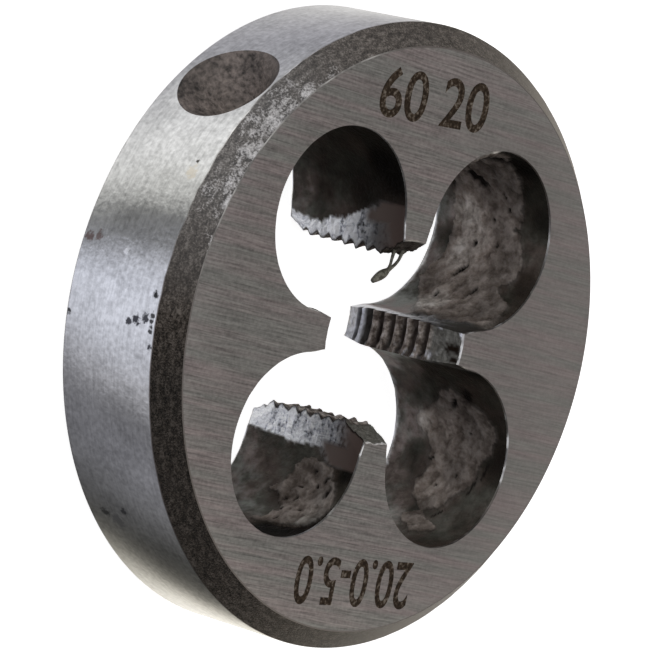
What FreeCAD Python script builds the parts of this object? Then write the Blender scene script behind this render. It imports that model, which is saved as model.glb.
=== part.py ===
import FreeCAD, Part
import math
import os
import Sketcher

# A round threading die for a fine M6 x 0.5 right-hand thread, made from one disc of steel.
# Millimetres. The disc's axis is Z, its back face lies on Z = 0 and its front face looks up.
# Four lands stand on the X and Y axes, with the chip holes on the diagonals between them.

NODE = "threading_die"
ORIGIN = (-1, 1)
ACROSS_AXIS = -1
UPRIGHT_AXIS = -2
START, END, CENTRE = 1, 2, 3
FULL_TURN = 360.0

doc = FreeCAD.newDocument(NODE)

# Driving dimensions, in millimetres and degrees
DRIVING_SIZES = [
    ("body_diameter", 20.0, "outside diameter of the disc"),
    ("body_thickness", 5.0, "back face to front face"),
    ("front_chamfer", 0.7, "rim chamfer at the front face"),
    ("back_chamfer", 0.5, "rim chamfer at the back face"),
    ("thread_diameter", 6.0, "nominal diameter of the thread that the die cuts"),
    ("thread_pitch", 0.5, "distance from one thread groove to the next"),
    ("thread_angle", 60.0, "angle between the two flanks of a groove"),
    ("thread_height", 0.23, "height of the lowest whole groove on the land at +X"),
    ("front_throat", 6.4, "diameter of the lead-in where it meets the front face"),
    ("front_lead", 1.05, "depth of the front lead-in"),
    ("back_throat", 6.3, "diameter of the lead-in where it meets the back face"),
    ("back_lead", 0.9, "depth of the back lead-in"),
    ("chip_hole_count", 4, "chip holes, and so lands"),
    ("chip_hole_circle", 10.0, "diameter of the circle through the chip holes' centres"),
    ("chip_hole_diameter", 5.8, "diameter of each drilled chip hole"),
    ("land_flat_angle", 2.0, "angle of a land's cutting face to the land's centre line"),
    ("lead_flat_cut", 0.12, "how far a lead flat cuts into a land's side at the front throat"),
    ("lead_flat_angle", 13.0, "angle of a lead flat to the land's centre line"),
    ("lead_flat_slope", 10.0, "slope of a lead flat to the disc's axis"),
    ("lead_flat_depth", 1.4, "depth at which the lead flats have run out"),
    ("dimple_diameter", 3.44, "mouth of a set-screw dimple, measured along the rim's height"),
    ("dimple_angle", 90.0, "angle of the dimple's cone"),
    ("dimple_tip", 0.2, "diameter of the flat at the bottom of a dimple"),
    ("dimple_place", 45.0, "angle from +X to the first dimple"),
    ("dimple_spacing", 90.0, "angle from the first dimple to the second"),
]

sizes = doc.addObject("Spreadsheet::Sheet", "sizes")
for row, (alias, value, meaning) in enumerate(DRIVING_SIZES, start=1):
    sizes.set(f"A{row}", meaning)
    sizes.set(f"B{row}", str(value))
    sizes.setAlias(f"B{row}", alias)
doc.recompute()

# The disc
RIM_RADIUS = "(sizes.body_diameter / 2)"
FACE_HEIGHT = "sizes.body_thickness"
MID_HEIGHT = "sizes.body_thickness / 2"

# The basic profile of a metric thread: a sharp triangle, cut off at an eighth of its height at the
# major diameter and a quarter at the minor, so the root is an eighth of the pitch wide
HALF_FLANK = "tan(sizes.thread_angle * 1deg / 2)"
SHARP_HEIGHT = f"(sizes.thread_pitch / 2 / {HALF_FLANK})"
MAJOR_RADIUS = "(sizes.thread_diameter / 2)"
MINOR_RADIUS = f"({MAJOR_RADIUS} - {SHARP_HEIGHT} * 5 / 8)"
ROOT_HALF_WIDTH = "sizes.thread_pitch / 16"

# The thread cutter starts a tenth of a pitch inside the bore, and its helix runs two pitches past each face
CUTTER_RADIUS = f"({MINOR_RADIUS} - sizes.thread_pitch / 10)"
CUTTER_HALF_WIDTH = f"({ROOT_HALF_WIDTH} + ({MAJOR_RADIUS} - {CUTTER_RADIUS}) * {HALF_FLANK})"
HELIX_START = "(sizes.thread_height - 2 * sizes.thread_pitch)"
HELIX_HEIGHT = "sizes.body_thickness + 4 * sizes.thread_pitch"

# A chip opening is a drilled hole with two flats that run from it, as tangents, towards the axis
HALF_SPACING = "(180 / sizes.chip_hole_count)"
HOLE_RADIUS = "(sizes.chip_hole_diameter / 2)"
HOLE_PLACE = "(sizes.chip_hole_circle / 2)"
FLAT_ANGLE = f"({HALF_SPACING} - sizes.land_flat_angle)"
FLATS_MEET = f"({HOLE_PLACE} - {HOLE_RADIUS} / sin({FLAT_ANGLE} * 1deg))"

# At both faces the lands are thinned by lead flats. The two flats of an opening lie on the long sides of a
# triangle, whose short side lies inside the chip hole
LEAD_ANGLE = f"({HALF_SPACING} - sizes.lead_flat_angle)"
THROAT_RADIUS = "(sizes.front_throat / 2)"
SIDE_OFFSET = f"({HOLE_PLACE} * sin({FLAT_ANGLE} * 1deg) - {HOLE_RADIUS})"
SIDE_ANGLE = f"(sizes.land_flat_angle + asin({SIDE_OFFSET} / {THROAT_RADIUS}) / 1deg)"
LEAD_HALF_WIDTH = f"({THROAT_RADIUS} * sin({SIDE_ANGLE} * 1deg) - sizes.lead_flat_cut)"
LEAD_HALF_ANGLE = f"(asin({LEAD_HALF_WIDTH} / {THROAT_RADIUS}) / 1deg)"
LEAD_OFFSET = f"({THROAT_RADIUS} * sin((sizes.lead_flat_angle - {LEAD_HALF_ANGLE}) * 1deg))"
LEAD_REACH = f"({HOLE_PLACE} * sin({LEAD_ANGLE} * 1deg) + {LEAD_OFFSET})"
LEAD_FLATS_MEET = f"({HOLE_PLACE} - {LEAD_REACH} / sin({LEAD_ANGLE} * 1deg))"
LEAD_END_ACROSS = f"({HOLE_PLACE} - {LEAD_REACH} * sin({LEAD_ANGLE} * 1deg))"
LEAD_END_UP = f"({LEAD_REACH} * cos({LEAD_ANGLE} * 1deg))"

# A dimple's cone is drawn on beyond the rim by its own mouth's radius
DIMPLE_SLOPE = "tan(sizes.dimple_angle * 1deg / 2)"
DIMPLE_RADIUS = "(sizes.dimple_diameter / 2)"
DIMPLE_TIP_RADIUS = "(sizes.dimple_tip / 2)"
DIMPLE_DEPTH = f"(({DIMPLE_RADIUS} - {DIMPLE_TIP_RADIUS}) / {DIMPLE_SLOPE})"
DIMPLE_TIP = f"({RIM_RADIUS} - {DIMPLE_DEPTH})"
DIMPLE_OUTER = f"({RIM_RADIUS} + {DIMPLE_RADIUS})"
DIMPLE_OUTER_HALF = f"({DIMPLE_TIP_RADIUS} + ({DIMPLE_OUTER} - {DIMPLE_TIP}) * {DIMPLE_SLOPE})"


def number(expression):
    """The number that an expression in the sheet's names comes to."""
    return float(sizes.evalExpression(expression))


def origin_plane(body, role):
    """One of the body's own three origin planes."""
    return next(plane for plane in body.Origin.OriginFeatures if plane.Role == role)


def new_sketch(body, name, role):
    """An empty sketch on one of the body's origin planes."""
    sketch = body.newObject("Sketcher::SketchObject", name)
    sketch.AttachmentSupport = (origin_plane(body, role), [""])
    sketch.MapMode = "FlatFace"
    return sketch


def turn_and_lift(sketch, angle, height):
    """Turn a flat sketch about the disc's axis and lift it off the back face."""
    sketch.AttachmentOffset = FreeCAD.Placement(
        FreeCAD.Vector(0, 0, number(height)), FreeCAD.Rotation(FreeCAD.Vector(0, 0, 1), number(angle))
    )
    sketch.setExpression("AttachmentOffset.Base.z", height)
    sketch.setExpression("AttachmentOffset.Rotation.Angle", angle)


def tie(sketch, name, expression, kind, *where):
    """Add a named dimension to a sketch and bind it to the sheet."""
    value = number(expression)
    if kind == "Angle":
        value = math.radians(value)
    index = sketch.addConstraint(Sketcher.Constraint(kind, *where, value))
    sketch.renameConstraint(index, name)
    sketch.setExpression(f"Constraints.{name}", expression)


def closed_outline(body, name, role, corners):
    """A closed sketch of straight lines. Each corner is its name and its two places as expressions."""
    sketch = new_sketch(body, name, role)
    places = [FreeCAD.Vector(number(across), number(up), 0) for _, across, up in corners]
    for start, end in zip(places, places[1:] + places[:1]):
        sketch.addGeometry(Part.LineSegment(start, end), False)
    for line, (corner, across, up) in enumerate(corners):
        before = (line - 1) % len(corners)
        sketch.addConstraint(Sketcher.Constraint("Coincident", before, END, line, START))
        if across == "0":
            sketch.addConstraint(Sketcher.Constraint("PointOnObject", line, START, UPRIGHT_AXIS))
        else:
            tie(sketch, f"{corner}_across", across, "DistanceX", *ORIGIN, line, START)
        if up == "0":
            sketch.addConstraint(Sketcher.Constraint("PointOnObject", line, START, ACROSS_AXIS))
        else:
            tie(sketch, f"{corner}_up", up, "DistanceY", *ORIGIN, line, START)
    return sketch


def turned_blank(body):
    """The disc as turned: rim with both chamfers, and a bore at the minor diameter with both lead-ins."""
    sketch = closed_outline(body, "blank_section", "XZ_Plane", [
        ("back_throat", "sizes.back_throat / 2", "0"),
        ("back_edge", f"{RIM_RADIUS} - sizes.back_chamfer", "0"),
        ("rim_bottom", RIM_RADIUS, "sizes.back_chamfer"),
        ("rim_top", RIM_RADIUS, f"{FACE_HEIGHT} - sizes.front_chamfer"),
        ("front_edge", f"{RIM_RADIUS} - sizes.front_chamfer", FACE_HEIGHT),
        ("front_throat", "sizes.front_throat / 2", FACE_HEIGHT),
        ("front_crest", MINOR_RADIUS, f"{FACE_HEIGHT} - sizes.front_lead"),
        ("back_crest", MINOR_RADIUS, "sizes.back_lead"),
    ])
    blank = body.newObject("PartDesign::Revolution", "turned_blank")
    blank.Profile = sketch
    blank.ReferenceAxis = (sketch, ["V_Axis"])
    blank.Angle = FULL_TURN
    return blank


def tapped_thread(body):
    """The thread: one helical groove of the basic profile, cut right through the bore and both lead-ins."""
    sketch = closed_outline(body, "thread_profile", "XZ_Plane", [
        ("open_low", CUTTER_RADIUS, f"{HELIX_START} - {CUTTER_HALF_WIDTH}"),
        ("root_low", MAJOR_RADIUS, f"{HELIX_START} - {ROOT_HALF_WIDTH}"),
        ("root_high", MAJOR_RADIUS, f"{HELIX_START} + {ROOT_HALF_WIDTH}"),
        ("open_high", CUTTER_RADIUS, f"{HELIX_START} + {CUTTER_HALF_WIDTH}"),
    ])
    thread = body.newObject("PartDesign::SubtractiveHelix", "tapped_thread")
    thread.Profile = sketch
    thread.ReferenceAxis = (sketch, ["V_Axis"])
    thread.Mode = "pitch-height-angle"
    thread.LeftHanded = False
    thread.Reversed = False
    thread.setExpression("Pitch", "sizes.thread_pitch")
    thread.setExpression("Height", HELIX_HEIGHT)
    return thread


def chip_openings(body):
    """The chip holes, drilled right through, with the flats that give each land its two cutting faces."""
    sketch = new_sketch(body, "chip_opening", "XY_Plane")
    turn_and_lift(sketch, HALF_SPACING, "0")
    flat_angle = math.radians(number(FLAT_ANGLE))
    radius = number(HOLE_RADIUS)
    centre = FreeCAD.Vector(number(HOLE_PLACE), 0, 0)
    meeting = FreeCAD.Vector(number(FLATS_MEET), 0, 0)
    sweep = math.pi / 2 + flat_angle
    drilled = Part.ArcOfCircle(Part.Circle(centre, FreeCAD.Vector(0, 0, 1), radius), -sweep, sweep)
    hole = sketch.addGeometry(drilled, False)
    upper = sketch.addGeometry(Part.LineSegment(meeting, drilled.EndPoint), False)
    lower = sketch.addGeometry(Part.LineSegment(drilled.StartPoint, meeting), False)
    sketch.addConstraint([
        Sketcher.Constraint("Tangent", upper, END, hole, END),
        Sketcher.Constraint("Tangent", hole, START, lower, START),
        Sketcher.Constraint("Coincident", lower, END, upper, START),
        Sketcher.Constraint("PointOnObject", hole, CENTRE, ACROSS_AXIS),
        Sketcher.Constraint("PointOnObject", upper, START, ACROSS_AXIS),
    ])
    tie(sketch, "hole_radius", HOLE_RADIUS, "Radius", hole)
    tie(sketch, "hole_place", HOLE_PLACE, "DistanceX", *ORIGIN, hole, CENTRE)
    tie(sketch, "flat_angle", FLAT_ANGLE, "Angle", upper)
    opening = body.newObject("PartDesign::Pocket", "first_chip_opening")
    opening.Profile = sketch
    opening.Type = "ThroughAll"
    opening.Reversed = True
    return polar_copies(body, "chip_openings", [opening], sketch, str(FULL_TURN), "sizes.chip_hole_count")


def lead_flats(body):
    """The flats ground into each land's two sides at either face. They slope out to nothing on the way in."""
    pockets = []
    for face, height, inwards in (("front", FACE_HEIGHT, False), ("back", "0", True)):
        sketch = closed_outline(body, f"{face}_lead_section", "XY_Plane", [
            ("meeting", LEAD_FLATS_MEET, "0"),
            ("lower_end", LEAD_END_ACROSS, f"-{LEAD_END_UP}"),
            ("upper_end", LEAD_END_ACROSS, LEAD_END_UP),
        ])
        turn_and_lift(sketch, HALF_SPACING, height)
        pocket = body.newObject("PartDesign::Pocket", f"{face}_lead_flats")
        pocket.Profile = sketch
        pocket.Type = "Length"
        pocket.Reversed = inwards
        pocket.setExpression("Length", "sizes.lead_flat_depth")
        pocket.setExpression("TaperAngle", "-sizes.lead_flat_slope")
        pockets.append(pocket)
    return polar_copies(body, "lead_flats", pockets, sketch, str(FULL_TURN), "sizes.chip_hole_count")


def screw_dimples(body):
    """Two cones in the rim at mid height, where a die holder's set screws bite."""
    sketch = closed_outline(body, "dimple_section", "XY_Plane", [
        ("tip", DIMPLE_TIP, "0"),
        ("axis_end", DIMPLE_OUTER, "0"),
        ("mouth", DIMPLE_OUTER, DIMPLE_OUTER_HALF),
        ("tip_edge", DIMPLE_TIP, DIMPLE_TIP_RADIUS),
    ])
    turn_and_lift(sketch, "sizes.dimple_place", MID_HEIGHT)
    dimple = body.newObject("PartDesign::Groove", "first_dimple")
    dimple.Profile = sketch
    dimple.ReferenceAxis = (sketch, ["H_Axis"])
    dimple.Angle = FULL_TURN
    return polar_copies(body, "screw_dimples", [dimple], sketch, "sizes.dimple_spacing", "2")


def polar_copies(body, name, cuts, sketch, angle, count):
    """Repeat cuts about the disc's axis, all round or through the angle from the first copy to the last."""
    pattern = body.newObject("PartDesign::PolarPattern", name)
    pattern.Originals = cuts
    pattern.Axis = (sketch, ["N_Axis"])
    pattern.setExpression("Angle", angle)
    pattern.setExpression("Occurrences", count)
    body.Tip = pattern
    return pattern


def check_cut(name, before, after):
    """Stop if a cut took nothing away."""
    if not after < before:
        raise RuntimeError(f"{name} cuts nothing: {before:.3f} to {after:.3f} cubic millimetres")


die = doc.addObject("PartDesign::Body", NODE)
die.Label = NODE
doc.recompute()

volume = None
for make_feature in (turned_blank, chip_openings, lead_flats, screw_dimples, tapped_thread):
    feature = make_feature(die)
    doc.recompute()
    if volume is not None:
        check_cut(feature.Name, volume, feature.Shape.Volume)
    volume = feature.Shape.Volume
    print(f"{feature.Name}: {volume:.2f} cubic millimetres")

for item in doc.Objects:
    if {"Invalid", "Error"} & set(item.State):
        raise RuntimeError(f"{item.Name} failed: {item.State}")
if die.Shape.isNull() or not die.Shape.isValid() or len(die.Shape.Solids) != 1:
    raise RuntimeError("the die isn't one valid solid")

os.makedirs("parts", exist_ok=True)
die.Shape.exportStep(f"parts/{die.Label}.step")
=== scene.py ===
import math

import bmesh
import bpy
from mathutils import Matrix, Vector, noise


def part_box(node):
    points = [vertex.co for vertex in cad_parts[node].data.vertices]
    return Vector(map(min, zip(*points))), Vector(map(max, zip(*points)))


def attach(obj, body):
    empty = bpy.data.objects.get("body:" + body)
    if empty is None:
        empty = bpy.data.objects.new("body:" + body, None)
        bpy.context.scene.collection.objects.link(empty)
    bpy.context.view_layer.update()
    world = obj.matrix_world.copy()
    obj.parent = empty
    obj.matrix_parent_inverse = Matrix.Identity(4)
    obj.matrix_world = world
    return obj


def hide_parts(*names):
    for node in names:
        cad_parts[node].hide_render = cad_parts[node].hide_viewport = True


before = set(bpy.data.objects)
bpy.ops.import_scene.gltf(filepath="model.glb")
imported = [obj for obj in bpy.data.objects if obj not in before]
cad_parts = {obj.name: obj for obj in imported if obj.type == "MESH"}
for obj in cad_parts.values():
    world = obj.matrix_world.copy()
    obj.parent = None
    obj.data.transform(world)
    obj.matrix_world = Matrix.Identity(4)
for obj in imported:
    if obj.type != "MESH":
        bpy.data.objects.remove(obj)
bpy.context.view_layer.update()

# Sizes are in millimetres, as on the drawing, and each finished mesh is scaled to metres
MM = 0.001
AXIS = (0, 0, 1)
NODE = "threading_die"
BODY = "root"

# The disc
high_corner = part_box(NODE)[1]
RIM_RADIUS = high_corner.x / MM
THICKNESS = high_corner.z / MM
FRONT_CHAMFER = 0.7
BACK_CHAMFER = 0.5

# The thread and its lead-ins
MAJOR_RADIUS = 3.0
PITCH = 0.5
MINOR_RADIUS = MAJOR_RADIUS - PITCH / 2 / math.tan(math.radians(30)) * 5 / 8
THREAD_HEIGHT = 0.23
FRONT_THROAT_RADIUS = 3.2
FRONT_LEAD = 1.05
BACK_THROAT_RADIUS = 3.15
BACK_LEAD = 0.9

# The chip holes and the lands between them
LANDS = 4
RIGHT_LAND = 0
TOP_LAND = 1
BOTTOM_LAND = -1
QUARTER = math.tau / LANDS
UPPER_RIGHT_HOLE, UPPER_LEFT_HOLE, LOWER_LEFT_HOLE, LOWER_RIGHT_HOLE = range(LANDS)
HOLE_PLACE = 5.0
HOLE_RADIUS = 2.9
LAND_FLAT_ANGLE = math.radians(2)
LEAD_FLAT_CUT = 0.12
LEAD_FLAT_ANGLE = math.radians(13)
LEAD_FLAT_SLOPE = math.radians(10)
FLAT_ARC = 14

# The set-screw dimples
DIMPLE_RADIUS = 1.72
DIMPLE_TIP_RADIUS = 0.1
DIMPLE_TURNS = (math.radians(45), math.radians(135))

# Worked out: how far the line of a land's side passes the axis, and where that side leaves the chip hole
SIDE_OFFSET = HOLE_PLACE * math.sin(QUARTER / 2 - LAND_FLAT_ANGLE) - HOLE_RADIUS
HOLE_CENTRE = Vector((HOLE_PLACE * math.cos(QUARTER / 2), HOLE_PLACE * math.sin(QUARTER / 2), 0))
SIDE_START = HOLE_CENTRE + HOLE_RADIUS * Vector((math.sin(LAND_FLAT_ANGLE), -math.cos(LAND_FLAT_ANGLE), 0))


def side_turn(radius):
    """Angle from a land's centre line to its side, at a radius."""
    return LAND_FLAT_ANGLE + math.asin(SIDE_OFFSET / radius)


# The lead flat: half the land's width at the throat, how far the flat's line passes the axis, where it ends
LEAD_HALF_WIDTH = FRONT_THROAT_RADIUS * math.sin(side_turn(FRONT_THROAT_RADIUS)) - LEAD_FLAT_CUT
LEAD_HALF_TURN = math.asin(LEAD_HALF_WIDTH / FRONT_THROAT_RADIUS)
LEAD_OFFSET = FRONT_THROAT_RADIUS * math.sin(LEAD_HALF_TURN - LEAD_FLAT_ANGLE)
LEAD_REACH = HOLE_PLACE * math.sin(QUARTER / 2 - LEAD_FLAT_ANGLE) - LEAD_OFFSET
LEAD_END = HOLE_CENTRE.x + LEAD_REACH * math.sin(LEAD_FLAT_ANGLE)

# Numbers marked on the front face: left, right, bottom and top of each
LETTER_DEPTH = 0.004
LETTER_SWELL = 0.012
TOP_WORDS = ("60 20", (-2.9, 2.2, 6.85, 8.45))
BOTTOM_WORDS = ("20.0-5.0", (-2.5, 2.9, -8.5, -6.95))

# Swarf that hangs from the top land's teeth: points with half widths
SWARF = {
    "swarf_long": [
        (-0.05, 2.85, 4.25, 0.07), (-0.10, 2.52, 4.25, 0.05), (-0.12, 2.30, 4.25, 0.045),
        (-0.16, 2.15, 4.25, 0.07), (-0.34, 2.03, 4.25, 0.15), (-0.58, 1.87, 4.25, 0.15),
        (-0.80, 1.73, 4.25, 0.08),
    ],
    "swarf_short": [
        (0.36, 2.86, 4.25, 0.07), (0.27, 2.58, 4.25, 0.05), (0.18, 2.42, 4.25, 0.05),
        (0.0, 2.25, 4.25, 0.055), (-0.17, 2.12, 4.25, 0.06),
    ],
}

# How finely the mesh is divided
TIP_STEPS = 12
SIDE_STEPS = 10
HOLE_STEPS = 180
WALL_ROWS = 80
RIM_STEPS = 360
DIMPLE_STEPS = 96

# Faces that meet at more than these angles stay sharp. From this share on, a normal points along a direction.
CREASE = math.radians(20)
WALL_CREASE = math.radians(75)
POINTS_ALONG = 0.99

# How close two points are when they count as one place
NEAR = 1e-3
SPUN_DOUBLES = 1e-4
TOUCHING = 1e-5

# Every edge is broken a little, as on the real die
EDGE_BREAK = 0.02
FACE_EDGE_BREAK = 0.028

# Dirt caked on the walls of the chip holes, hole by hole: at a turn in degrees about the hole's centre, the
# heights between which the cake lies
CAKES = {
    UPPER_RIGHT_HOLE: [
        (-90, 3.0, 3.0), (-84, 2.2, 4.3), (-75, 1.7, 4.7), (-66, 1.4, 4.8), (-55, 1.0, 4.75), (-45, 0.7, 4.5),
        (-36, 0.35, 3.95), (-31, 0.4, 3.75), (-24, 0.55, 4.2), (-15, 0.7, 4.25), (-8, 0.8, 4.1),
        (0, 0.9, 3.85), (8, 0.88, 3.65), (15, 0.85, 3.85), (30, 0.85, 3.9), (45, 1.1, 4.0), (65, 1.4, 4.2),
        (85, 1.9, 4.6), (100, 2.4, 5.2), (120, 3.3, 5.2), (130, 4.5, 4.5),
    ],
    LOWER_LEFT_HOLE: [
        (-74, 3.0, 3.0), (-72, 2.7, 3.3), (-69, 2.8, 3.9), (-66, 3.0, 4.35), (-62, 3.2, 4.75),
        (-57, 3.3, 4.9), (-53, 3.2, 4.85), (-50, 3.0, 4.95), (-46, 2.9, 4.9), (-42, 2.6, 4.95),
        (-40, 2.15, 4.9), (-36, 2.4, 4.85), (-31, 2.5, 4.75), (-25, 2.5, 4.5), (-20, 2.6, 4.3),
        (-14, 2.7, 4.1), (-12, 3.3, 3.3),
    ],
    LOWER_RIGHT_HOLE: [
        (-72, 3.2, 3.2), (-68, 2.9, 3.6), (-59, 2.3, 3.8), (-54, 2.1, 3.3), (-49, 2.5, 2.9), (-46, 2.6, 2.7),
        (-43, 2.3, 3.05), (-38, 2.0, 3.25), (-32, 1.64, 3.4), (-27, 1.54, 3.6), (-21, 1.8, 3.8),
        (-11, 1.85, 4.05), (-5, 1.8, 4.15), (0, 1.7, 4.2), (6, 1.4, 4.3), (10, 1.15, 4.5), (13, 1.05, 4.6),
        (17, 1.05, 4.6), (20, 1.15, 4.5), (24, 1.5, 4.5), (30, 1.9, 4.2), (36, 2.1, 3.6), (42, 2.4, 3.1),
        (46, 2.8, 2.8),
    ],
}

# How far the bare ground side of a land reaches past the point where it leaves the chip hole, by height
BARE_REACH = {
    (TOP_LAND, 1): [
        (-1, -0.28), (0, -0.28), (0.5, -0.33), (1.1, -0.45), (1.5, -0.42), (1.9, -0.22), (2.4, -0.2),
        (2.8, 0.0), (3.2, 0.2), (3.6, 0.35), (6, 0.35),
    ],
    (BOTTOM_LAND, -1): [
        (-1, 0.0), (0, 0.0), (0.6, 0.06), (1.2, 0.12), (2.0, 0.19), (2.6, 0.16), (3.4, 0.1), (6, 0.05),
    ],
}

# Dark pits and cracks in the cake and the wall, painted near black partly as the shade that falls in them,
# hole
# by hole: turn in degrees, height, two half sizes, and slant in degrees
PITS_AND_PAINTED_SHADE = {
    UPPER_RIGHT_HOLE: [
        (40.5, 2.1, 0.52, 0.17, 130), (-25, 1.85, 0.34, 0.08, 34), (12, 2.65, 0.09, 0.07, 0),
        (-5, 2.9, 0.10, 0.06, 60), (-40, 2.84, 0.20, 0.07, 30), (30, 3.2, 0.10, 0.08, 0),
        (-6, 2.0, 0.12, 0.08, 0), (21, 3.3, 0.08, 0.10, 0), (-50, 1.6, 0.14, 0.07, 0),
        (66, 3.6, 0.9, 0.13, 100),
    ],
    LOWER_LEFT_HOLE: [
        (-72.5, 3.82, 0.30, 0.08, 70), (-69.5, 4.25, 0.28, 0.09, 69), (-65, 4.65, 0.28, 0.10, 49),
        (-57, 4.91, 0.32, 0.07, 14), (-46, 4.96, 0.34, 0.05, 0), (-64, 3.5, 0.12, 0.06, 20),
        (-42, 3.4, 0.10, 0.06, 30), (-30, 3.9, 0.08, 0.06, 0), (-56, 3.3, 0.22, 0.07, 20),
        (-33, 4.45, 0.22, 0.09, 10), (-24, 4.1, 0.12, 0.07, 40), (-50, 3.9, 0.07, 0.05, 0),
        (-44, 3.0, 0.10, 0.05, 60), (-33, 3.3, 0.06, 0.10, 0), (-20, 3.5, 0.07, 0.10, 30),
    ],
    LOWER_RIGHT_HOLE: [
        (41, 3.45, 0.30, 0.19, 20), (33, 2.8, 0.22, 0.10, 30), (-9, 1.95, 0.12, 0.06, 60),
        (14, 3.45, 0.06, 0.05, 0), (-26, 2.6, 0.08, 0.06, 0), (-16, 3.2, 0.07, 0.06, 0),
        (-20, 3.95, 0.40, 0.04, 12), (-45, 3.3, 0.25, 0.04, 30), (-8, 4.25, 0.30, 0.05, 10),
    ],
}

# Dark stains, and painted glints marked as bright metal, on the lands' tips in the same way, land by land,
# with turns from the land's middle, and half of a tip's width in degrees
STAINS = {RIGHT_LAND: [(-1.0, 4.72, 0.18, 0.23, 0), (-7.5, 4.82, 0.08, 0.14, 0), (4.0, 3.4, 0.10, 0.08, 0)]}
GLINTS = {RIGHT_LAND: [
    (11.0, 4.24, 0.07, 0.07, 0), (9.5, 4.95, 0.12, 0.12, 0), (-6.8, 2.19, 0.07, 0.05, 0),
    (-10.0, 3.05, 0.07, 0.07, 0), (-10.0, 3.34, 0.05, 0.06, 0), (-10.0, 3.67, 0.07, 0.07, 0),
    (-8.7, 4.07, 0.07, 0.07, 0),
]}
TIP_HALF_DEGREES = 11

# How far below the thread's grooves their dark lies: dirt in the grooves, moved onto the flank where shade
# falls as painted shade
DIRT_AND_PAINTED_SHADE_SHIFT = 0.05

# Wear of the lands' tips: how fine and how deep their roughness is, how much of the grooves is filled, how
# far metal is worn off or pushed up, and over which heights the teeth end in a smooth lead-in
TIP_FINENESS = 5.0
TIP_ROUGHNESS = 0.018
CHIP_ROUGHNESS = 0.07
CHIP_FILLED = 0.6
LEAD_SMOOTHED = (3.95, 4.1)
BOTTOM_FILLED = 0.5
BOTTOM_WORN = 0.07
BOTTOM_ROUGHNESS = 0.05
BOTTOM_BURR = 0.13
BOTTOM_BURR_HEIGHT = 4.0
TOP_FILLED = 0.45
TOP_TOOTH_BURR = 0.09
TOP_LEAD_BURR = 0.10

# How far the caked dirt, its lumps and pits, and the bare wall's own lumps stand out
CAKE_THICKNESS = 0.11
CAKE_LUMPS = 0.08
CAKE_PITS = 0.09
WALL_LUMPS = 0.008

# How far the torn metal of a land's ground side stands out
TORN_CHUNKS = 0.05
TORN_LUMPS = 0.03

# How ragged the borders of the cake, the bare metal and the spots are, and where noise is read for them
CAKE_RAGGED = 0.2
CAKE_RAGGED_FINENESS = 2.2
BARE_RAGGED = 0.09
BARE_SOFT = 0.03
RIGHT_BARE_SOFT = 0.3
SPOT_RAGGED = 0.6
SPOT_BORDER = (1.3, 0.7)
RAGGED_SHIFT = Vector((3.3, 8.1, 0.7))
LUMPS_SHIFT = Vector((9.1, 2.3, 4.7))

# The browned flat on a land's side near the front: the height where it starts, how its border curves up along
# the hole, and how ragged and soft that border is
BROWNED_START = 3.35
BROWNED_CURVE = 0.55
BROWNED_RAGGED = 0.15
BROWNED_SOFT = 0.25
BROWNED_ARC_SOFT = 0.4

# How near a spot its tone holds, and how fast it gives way to the others further off
TONE_CORE = 0.2
TONE_FALL = 4

# How far the front edge of the rim waves, all round and where it is worn, between these turns in degrees
EDGE_WAVE = 0.012
WORN_EDGE_WAVE = 0.045
WORN_EDGE_STARTS = (95, 125)
WORN_EDGE_ENDS = (185, 170)

# What is marked on the mesh's points for the materials
MARKS = ("cake", "tone_and_painted_light", "bare_and_painted_highlight", "relief", "groove", "pit_and_painted_shade")
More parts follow.
